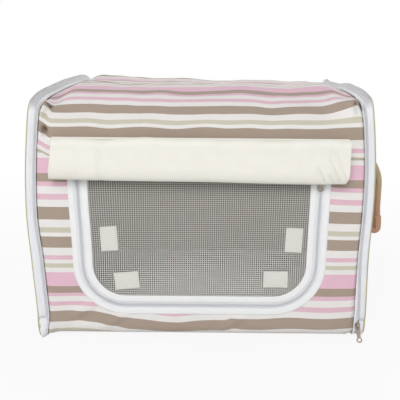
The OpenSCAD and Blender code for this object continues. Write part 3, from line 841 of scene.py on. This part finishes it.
pads, rows = [], []
for x, z, width, height, tilt in (
        (-0.131, 0.1493, 0.025, 0.037, -3.0), (0.136, 0.1493, 0.025, 0.037, 2.0),
        (-0.106, 0.0860, 0.036, 0.026, -6.0), (0.1115, 0.0896, 0.036, 0.025, 0.0)):
    tilt = math.radians(tilt)
    across, up = (math.cos(tilt), 0, -math.sin(tilt)), (math.sin(tilt), 0, math.cos(tilt))
    pad, row = sewn_pad((x, zip_y + sag(x, z), z), across, up, width, height, patch_rise)
    pads.append(pad)
    rows.append(row)
patches = joined("hook_and_loop_patches", pads)
fit(patches, off_white_pile, "door", "hook_and_loop", "hook_patches", thick=patch_t)
fit(stitches("patch_stitches", rows), sewing_thread, "door", "hook_and_loop")


# Door zip slider and pull
# A cast slider in dark metal on the door's chain, with a pressed pull that turns on a pin and ends in a
# ring. The plates are cut from outlines; lips, post, bridge and pin follow short paths.

gunmetal, shader, start = finish("dark cast metal", Metallic=0.85)
coordinates = start.node("TexCoord", out="Object")
second_tone = start.node("TexNoise", {"Vector": coordinates, "Scale": 300.0, "Detail": 4.0})
feed(shader, second_tone, 0.00008, Base_Color=second_tone.mix(dye("85796c"), dye("b3a698")), Roughness=second_tone * 0.3 + 0.25)
pin_y, slider_t, door_slider_z = -0.0037, 0.0012, 0.248
pull_l, ring_r, ring_hole_r = 0.026, 0.0042, 0.0024


def plate(name, outlines, y, thick, soft=0.00025):
    """A flat plate with softened edges, square to Y; outlines are its edge and its holes, in X and Z."""
    curve = bpy.data.curves.new(name, "CURVE")
    curve.dimensions, curve.fill_mode = "2D", "BOTH"
    curve.extrude, curve.bevel_depth, curve.bevel_resolution, curve.offset = thick / 2 - soft, soft, 2, -soft
    for outline in outlines:
        line = curve.splines.new("POLY")
        line.points.add(len(outline) - 1)
        for point, (x, z) in zip(line.points, outline):
            point.co = (x, z, 0, 1)
        line.use_cyclic_u = True
    shape = set_out(name, curve)
    graph = bpy.context.evaluated_depsgraph_get()
    mesh = bpy.data.meshes.new_from_object(shape.evaluated_get(graph))
    bpy.data.objects.remove(shape)
    mesh.transform(Matrix.Translation((0, y, 0)) @ Matrix.Rotation(math.pi / 2, 4, "X"))
    return set_out(name, mesh)


def mirrored(half):
    """A closed outline from its right half, which runs from the top to the bottom."""
    half = np.asarray(half)
    return np.concatenate([half, half[-2:0:-1] * [-1, 1]])


def ribbon(name, path, across, width, thick):
    """A flat strip with softened edges along a path; across is the direction of its width."""
    path, across = np.asarray(path, float), np.asarray(across)
    up = unit(np.cross(np.gradient(path, axis=0), across))
    w, t, c = width / 2, thick / 2, thick * 0.3
    half = [(-w, c - t), (-w, t - c), (c - w, t), (0, t), (w - c, t)]
    profile = half + [(-a, -b) for a, b in half]
    rings = np.stack([path + a * across + b * up for a, b in profile], 1)
    return skin(name, rings, ring=True, caps=True)


def bend(centre, radius, start, end, steps, tall=1.0):
    """Points round part of a circle, or of an oval when tall isn't 1, between two angles in degrees."""
    turn = np.radians(np.linspace(start, end, steps))
    return [(centre[0] + radius * math.cos(a), centre[1] + tall * radius * math.sin(a)) for a in turn]


def slider(name):
    """A slider: a front plate, a smaller back plate, side lips, a post and the bridge for the pin."""
    front = spline([(0, 0.0053), (0.0022, 0.0054), (0.0038, 0.0040), (0.00405, 0.0015), (0.0036, -0.0025),
                    (0.0028, -0.0048), (0.0014, -0.0055), (0, -0.0055)], 5)
    back = spline([(0, 0.0053), (0.0024, 0.0052), (0.0038, 0.0038), (0.0040, 0.0012), (0.0034, -0.0020),
                   (0.0020, -0.0028), (0, -0.0028)], 5)
    bridge = spline([(0, -0.0014, 0.0028), (0, -0.0036, 0.0027), (0, -0.0049, 0.0018), (0, -0.00495, 0),
                     (0, -0.0049, -0.0018), (0, -0.0036, -0.0027), (0, -0.0014, -0.0028)], 5)
    edge = ((0.0037, 0.0024), (0.0037, 0), (0.0034, -0.0026))
    sides = [[(s * x, -0.0013, z) for x, z in edge] for s in (-1, 1)]
    lips = [ribbon("lip", side, (0, 1.0, 0), 0.0022, 0.0006) for side in sides]
    post = ribbon("post", [(0, y, 0.003) for y in (-0.0016, 0.0005, 0.0026)], (1.0, 0, 0), 0.0011, 0.0034)
    arch = ribbon("bridge", bridge, (1.0, 0, 0), 0.0024, 0.0009)
    plates = [plate("plate", [mirrored(half)], y, slider_t) for half, y in ((front, -0.0016), (back, 0.0026))]
    return joined(name, plates + [arch, post] + lips)


def pull(name):
    """The pull: a pressed plate with two arms, a waist and a ring end, and the pin between its arms."""
    ring_z = ring_r - pull_l
    half = [(0, -0.0058), (0.0014, -0.0058), (0.0017, -0.0055), (0.0017, 0.0006), (0.0021, 0.0010),
            (0.0030, 0.0010), (0.0034, 0.0006), (0.0034, -0.0075), (0.0030, -0.0095), (0.0027, -0.0120),
            (0.0027, -0.0165)]
    half += bend((0, ring_z), ring_r, 52, -90, 18)
    hole = bend((0, ring_z), ring_hole_r, 0, 360, 29)[:-1]
    pin = points_of(np.array([-0.0033, -0.0015, 0.0015, 0.0033]), pin_y, 0)
    return joined(name, [plate("pull", [mirrored(half), hole], pin_y, 0.0014, 0.0003),
                         rod("pin", pin, (0, 0, 1.0), 0.0008, 12)])


def place_slider(side, spot, turn, lean):
    """One slider and its pull at a spot on a chain, turned about Z, with the pull leaning out."""
    at = Matrix.Translation(spot) @ Matrix.Rotation(turn, 4, "Z")
    body = slider(side + "_zip_slider_body")
    body.matrix_world = at
    fit(body, gunmetal, side + "_zip_slider", "gunmetal", side + "_slider")
    pin = Matrix.Translation((0, pin_y, 0))
    tag = pull(side + "_zip_pull_tag")
    tag.matrix_world = at @ pin @ Matrix.Rotation(-lean, 4, "X") @ pin.inverted()
    fit(tag, gunmetal, side + "_zip_pull", "gunmetal", side + "_pull")


place_slider("door", settle((net_x + zip_chain, zip_y, door_slider_z)) - [0.0008, 0, 0], 0.0, 0.0)


# Privacy flap
# A cream cotton flap on a hem above the door, rolled up on itself and hanging over the top of the window.
# The roll is one long sheet with pulled creases at its right end, and the hem is a round cord.

flap_low, flap_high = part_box("privacy_flap")
hem_y, hem_z, hem_r = -0.203, 0.295, 0.0023
hang_l, creased_x = 0.057, 0.13
cream_cotton = cloth("cream cotton", "e4e2d7", "f0eee5", 0.0006, 0.92, 0.2, 0.00015)
roll = [(0.0, 0.0), (-0.0035, -0.0064), (-0.007, -0.0128)]
for drop, back in ((0.0115, 0.0085), (0.0060, 0.0036)):
    roll += bend((-0.017, -0.036), drop, 0, -180, 26, 1.74)
    roll += bend((-0.0192, -0.0064), back, 180, 0, 20)
roll = spaced(np.array(roll + [(-0.0158, -0.036)]), 150)
x = np.concatenate([
    np.linspace(flap_low.x, creased_x, 110, endpoint=False), np.linspace(creased_x, flap_high.x, 120)])
grid = points_of(x, hem_y + roll[:, :1], hem_z + roll[:, 1:])
hang = np.clip((hem_z - grid[..., 2]) / hang_l, 0, 1)
rounded = 1 - np.sqrt(1 - np.clip(hang / 0.3 - 2.3333, 0, 1) ** 2)
grid[..., 0] += ease(-x, 0.18, 0.207) * (0.0046 - 0.0070 * hang)
grid[..., 0] -= ease(x, 0.18, 0.207) * (0.0024 + 0.005 * rounded)
across = grid[..., 0]
sink = 0.0026 * (1 - (across / 0.21) ** 2) + 0.0040 * ease(across, -0.02, 0.20) - 0.0026
fold = 0.0022 * hump(across + 0.137, 0.0035)
for start_x, lean, deep, begins in (
        (0.150, 0.50, 0.0044, 0.50), (0.160, 0.52, 0.0030, 0.62), (0.172, 0.48, 0.0046, 0.30),
        (0.184, 0.42, 0.0030, 0.12)):
    off = across - start_x - lean * (0.285 - grid[..., 2])
    sharp = np.exp(-np.abs(off) / np.where(off > 0, 0.0016, 0.0040))
    fold += deep * sharp * ease(hang, begins, begins + 0.22) * (1 - ease(hang, 0.93, 1.0))
still = points_of(across, 0, grid[..., 2] * 0.6)
fold += 0.0012 * ripple(still, 0.05, 2.2) + 0.0008
fold += 0.0008 * ripple(still, 0.02, 8.8) * ease(across, 0.08, 0.18)
wavy = ripple(points_of(x, 0, 0), 0.05, 4.1)
grid[..., 2] += 0.0036 * wavy * (1 - ease(hang, 0.0, 0.5)) - sink * hang
grid[..., 1] += fold * ease(hang, 0.05, 0.3)
flap = skin("privacy_flap_cloth", grid, points_of(x, np.linspace(0, length(roll), len(roll))[:, None]))
padding = flap.modifiers.new("thickness", "SOLIDIFY")
padding.thickness, padding.offset = 0.0016, 0
fit(flap, cream_cotton, "flap", "cream_cloth", "privacy_flap")
hem = rod("privacy_flap_hem", points_of(x, hem_y, hem_z), (0, 0, 1.0), hem_r, 10)
fit(hem, cream_cotton, "flap", "cream_cloth")


# End panels
# Each end is a stiff board under striped canvas, edged with a piped seam over a steel wire, and the end's
# half of the zip sewn inside the piping. The end folds down on the bottom edge of its piping.

cover_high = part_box("right_end_cover")[1]
piping_r, wire_r, cover_in = 0.003, 0.0013, 0.0062
cover_t, board_t, board_in = 0.0014, 0.002, 0.0017
piping_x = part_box("right_piping")[1].x - piping_r
piping_cloth = cloth("piping cloth", "a29f6e", "b9b68a", 0.0006, 0.85, 0.15, 0.00025)
steel = flecked("spring steel", "8f9092", "b5b6b8", 200.0, Metallic=1.0, Roughness=0.35)
board_plastic = flecked("stiffening board", "4a4744", "5d5955", 500.0, 3.0, 0.0001, Roughness=0.6)


def rim_cord(name, side, radius, sides):
    """A round cord along the closed edge of an end panel."""
    inner = hoop_line - hoop_out * piping_r
    base_y = np.linspace(inner[-1, 0], inner[0, 0], 60)[1:]
    line = spaced(np.concatenate([inner, points_of(base_y, piping_r)]), 421)[:-1]
    path = settle(np.insert(line, 0, side * piping_x, axis=1))
    return rod(name, path, (1.0, 0, 0), radius, sides, loop=True)


def end_cloth(name, side, x, rows=60, columns=60):
    """The flat of an end panel, facing out."""
    half = (hoop_line - hoop_out * cover_in)[:len(hoop_line) // 2]
    half = spaced(half[half[:, 0] < -0.025], rows)
    across = np.linspace(side, -side, columns)
    y, z = half[:, :1] * across, half[:, 1:]
    soft = np.sin(math.pi * np.clip(z / 0.245, 0, 1)) * (1 - across ** 2)
    points = points_of(x, y, z)
    points[..., 0] += soft * (0.003 + 0.0015 * ripple(points, 0.08, 6.0))
    points[..., 0] *= side
    return skin(name, settle(points), points_of(y, z))


for side, end in ends:
    panel = end + "_end"
    piping = rim_cord(end + "_piping_cord", side, piping_r, 12)
    fit(piping, piping_cloth, panel, "piping_cloth", end + "_piping")
    wire = rim_cord(end + "_wire", side, wire_r, 8)
    fit(wire, steel, panel, "spring_steel", end + "_frame_wire")
    cover = end_cloth(end + "_end_cloth", side, cover_high.x)
    fit(cover, striped_canvas, panel, "striped_cloth", end + "_end_cover", thick=cover_t)
    board = end_cloth(end + "_stiff_board", side, cover_high.x - board_in)
    fit(board, board_plastic, panel, "board_plastic", end + "_end_board", thick=board_t)
    tape = hoop_strip(end + "_rim_zip_tape", side, (
        (chain_x + 0.0002, -0.0018), (chain_x + 0.0002, -0.0006), (chain_x + 0.0022, 0.0002),
        (rim_tape_high.x, 0.0010), (piping_x + 0.0004, 0.0007), (piping_x + 0.0004, -0.0002)),
        rim_from, hoop_l - rim_from)
    fit(tape, zip_tape, panel, "white_tape", end + "_rim_tape")
    teeth = hoop_coil(end + "_rim_zip_coil", side, chain_x + 0.0009, rim_from, hoop_l - rim_from, math.pi)
    fit(teeth, nylon, panel, "coil_plastic", end + "_rim_coil")
    if end == "left":
        for piece in (piping, wire, cover, board, tape, teeth):
            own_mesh(piece)


# End zip sliders and pulls
# The same slider and pull as the door's, in the same metal. One is at the right end's front corner and one
# at the left end's rear corner, and both pulls lean out.

end_slider_z, pull_lean = 0.019, math.radians(48.1)
place_slider("right", settle((chain_x, front_y, end_slider_z)) - [0.0012, 0, 0], 0.0, pull_lean)
place_slider("left", settle((-chain_x, -front_y, end_slider_z)), math.pi, pull_lean)


# Carry handle
# A loop of padded tan webbing with two legs, sewn to anchors on the right end, and a folded grip at its
# bottom. The webbing turns from a yellower tan to a redder one towards the grip.

anchor_low, anchor_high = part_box("handle_anchors")
handle_x, handle_z = anchor_high.x + 0.0028, 0.270
leg_y, strap_w = 0.046, 0.028
leg_l, leg_r, curl_r, drop_l = 0.031, 0.060, 0.008, 0.149
grip_wear = ("ab8468", "c39b80", ("Object", 0.215, 0.175))
tan_webbing = cloth(
    "tan webbing", "a3956f", "bdb08a", 0.0016, 0.8, 0.15, 0.0004, 1.6, 0.5, 0.6, second_tone=grip_wear)
leg_slope = math.radians(35)
leg_end = leg_l * np.array([math.cos(leg_slope), -math.sin(leg_slope)])
leg_centre = leg_end - leg_r * np.array([math.sin(leg_slope), math.cos(leg_slope)])
curl_centre = (leg_centre[0] + leg_r - curl_r, curl_r + 0.0025 - drop_l)
strap = [(0.0, 0.0)] + bend(leg_centre, leg_r, 55, 0, 24) + bend(curl_centre, curl_r, 0, -150, 20)
strap = spaced(np.array(strap), 110)
strap_out = square_to(strap)
stages, stops = np.linspace(0, 1, len(strap)), (0, 0.1, 0.35, 0.7, 0.85, 1)
face = np.interp(stages, stops, (0.0022, 0.0025, 0.0004, 0.0004, 0.002, 0.002))[:, None]
back = np.interp(stages, stops, (0.0022, 0.0025, 0.009, 0.009, 0.006, 0.005))[:, None]
outer, inner = strap + strap_out * face, strap - strap_out * back
turn = np.linspace(0, 2 * math.pi, 20, endpoint=False)
wide = np.sign(np.cos(turn)) * np.abs(np.cos(turn)) ** 0.5 * strap_w / 2
deep = 0.5 + 0.5 * np.sign(np.sin(turn)) * np.abs(np.sin(turn)) ** 0.6
ring = inner[:, None] + (outer - inner)[:, None] * deep[:, None]
pieces = []
for s in (-1, 1):
    leg = points_of(handle_x + ring[..., 0], s * leg_y + wide, handle_z + ring[..., 1])
    pieces.append(skin("leg", leg, ring=True, caps=True))
low = strap[:, 1] < -0.119
edge = np.concatenate([(outer + strap_out * 0.0006)[low], (inner - strap_out * 0.0006)[low][::-1]])
edge = spaced(np.concatenate([edge, edge[:1]]), 90)[:-1]
middle = edge.mean(0)
grip_half = ((-0.0605, 0.8), (-0.060, 0.94), (-0.0585, 1), (-0.05, 1), (-0.035, 1), (-0.018, 1), (0, 1))
grip = []
for y, swell in both_sides(np.array(grip_half)):
    ring = middle + (edge - middle) * swell
    grip.append(points_of(handle_x + ring[:, 0], y, handle_z + ring[:, 1]))
pieces.append(skin("grip", grip, ring=True, caps=True))
fit(joined("carry_handle_webbing", pieces), tan_webbing, "handle", "webbing", "carry_handle")

anchor_h, anchor_rise, anchor_t = anchor_high.z - anchor_low.z, 0.002, 0.0014
anchors, rows = [], []
for s in (-1, 1):
    place = np.array([cover_high.x, s * leg_y, (anchor_low.z + anchor_high.z) / 2])
    pad, row = sewn_pad(place, (0, 1, 0), (0, 0, 1), strap_w, anchor_h, anchor_rise)
    anchors.append(pad)
    rows.append(row)
    y, z = strap_w / 2 - stitch_in, anchor_h / 2 - stitch_in
    for a in (-1, 1):
        cross = place + np.array([(0.0017, -y, -a * z), (0.0017, 0, 0), (0.0017, y, a * z)])
        rows.append((spaced(cross, 30), (1.0, 0, 0)))
anchor_pads = joined("handle_anchor_pads", anchors)
fit(anchor_pads, tan_webbing, "right_end", "webbing", "handle_anchors", thick=anchor_t)
fit(stitches("anchor_stitches", rows), sewing_thread, "right_end", "webbing")


# Floor insert
# A loose fibre board with a quilted cotton pad sewn on it, which keeps the floor flat and lifts out. The
# pad is an upper and a lower skin, welded at their edges.

fibre_board = flecked("fibre board", "6f5540", "8a6d54", 180.0, 6.0, 0.0002, Roughness=0.8)
for node in bpy.data.objects:
    if node.name.startswith("base_board") and node.type == "MESH":
        node.data.materials.clear()
        node.data.materials.append(fibre_board)
pad_low, pad_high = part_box("floor_pad")
pad_z, pad_r, pad_soft, quilt_l = pad_low.z + 0.0003, 0.022, 0.012, 0.075
closer = math.pi * 0.46
u, w = np.meshgrid(np.linspace(-1, 1, 120), np.linspace(-1, 1, 96))
y = pad_high.y * np.sin(w * closer) / math.sin(closer)
beside = np.maximum(np.abs(y) - pad_high.y + pad_r, 0)
reach = pad_high.x - pad_r + np.sqrt(np.maximum(pad_r ** 2 - beside ** 2, 0))
x = reach * np.sin(u * closer) / math.sin(closer)
edge = np.clip(np.minimum(reach - np.abs(x), pad_high.y - np.abs(y)) / pad_soft, 0, 1)
quilt = np.abs(np.sin(math.pi * (x + y) / quilt_l) * np.sin(math.pi * (x - y) / quilt_l)) ** 0.5
rise = np.sqrt(edge * (2 - edge)) * (0.74 + 0.25 * quilt)
marks = points_of(x, y)
upper = skin("upper", points_of(x, y, pad_z + (pad_high.z - pad_low.z) * rise), marks)
lower = skin("lower", points_of(x, y, pad_z)[::-1], marks[::-1])
pad = joined("floor_pad_quilt", [upper, lower], weld=0.00002)
pad_cotton = cloth("pad cotton", "e3e0d8", "f1efe9", 0.0007, 0.92, 0.2)
fit(pad, pad_cotton, "floor_insert", "pad_cloth", "floor_pad")


# Studio
# A white sweep, a large soft lamp in front, weaker ones at both sides and behind, and an even fill. The
# camera looks a little down on the bag from in front.


def seen_white(start, share=1.0):
    """1 for glossy and transmitted rays, share for rays straight from the camera and 0 for the rest."""
    rays = start.node("LightPath")
    seen = rays.maths("MAXIMUM", rays * share, rays.other("Is Glossy Ray"))
    return rays.maths("MAXIMUM", seen, rays.other("Is Transmission Ray"))


sweep, shader, start = finish("pale sweep", Base_Color=dye("dedede"), Roughness=0.9)
bpy.ops.mesh.primitive_plane_add(size=60, location=(0, 0, -0.0005))
floor = bpy.context.object
floor.data.materials.append(sweep)
coordinates = start.node("TexCoord", out="Object")
away = start.node("VectorMath", {0: coordinates}, "Value", operation="LENGTH")
shine = start.node("MapRange", {0: away, 1: 0.4, 2: 1.2, 3: 0.86, 4: 1.0})
glow = start.node("Emission", {"Color": (1, 1, 1, 1), "Strength": 1.0})
lit = Strand(start.tree, shader.outputs[0])
shown = start.node("MixShader", {0: seen_white(start, shine), 1: lit, 2: glow})
start.tree.links.new(shown.socket, start.tree.nodes["Material Output"].inputs["Surface"])

world = bpy.data.worlds.new("studio")
world.use_nodes = True
bpy.context.scene.world = world
fill, lamp_size = 0.40, 1.6
background = world.node_tree.nodes["Background"]
background.inputs["Color"].default_value = (1, 1, 1, 1)
strength = seen_white(Strand(world.node_tree)) * (1 - fill) + fill
world.node_tree.links.new(strength.socket, background.inputs["Strength"])

for name, place, target, power in (
        ("key", (-0.4, -2.9, 1.9), (0, -0.1, 0.18), 66), ("right", (2.9, 0.3, 0.8), (0.2, 0, 0.18), 25),
        ("left", (-2.9, 0.3, 0.8), (-0.2, 0, 0.18), 25), ("rear", (0.3, 3.0, 0.9), (0, 0.2, 0.18), 38)):
    light = bpy.data.lights.new(name, "AREA")
    light.shape, light.size, light.energy = "DISK", lamp_size, power
    lamp = set_out(name, light)
    lamp.location = place
    lamp.rotation_euler = (Vector(target) - Vector(place)).to_track_quat("-Z", "Y").to_euler()

camera = bpy.data.cameras.new("camera")
camera.lens, camera.sensor_width = 63.0, 36.0
eye = set_out("camera", camera)
eye_place = (0, front_y - 0.9692, 0.4364)
tilt, roll = math.radians(90 - 13.26), math.radians(0.5)
eye.matrix_world = Matrix.Translation(eye_place) @ (
    Matrix.Rotation(tilt, 4, "X") @ Matrix.Rotation(roll, 4, "Z"))
bpy.context.scene.camera = eye
bpy.context.scene.view_settings.view_transform = "Standard"
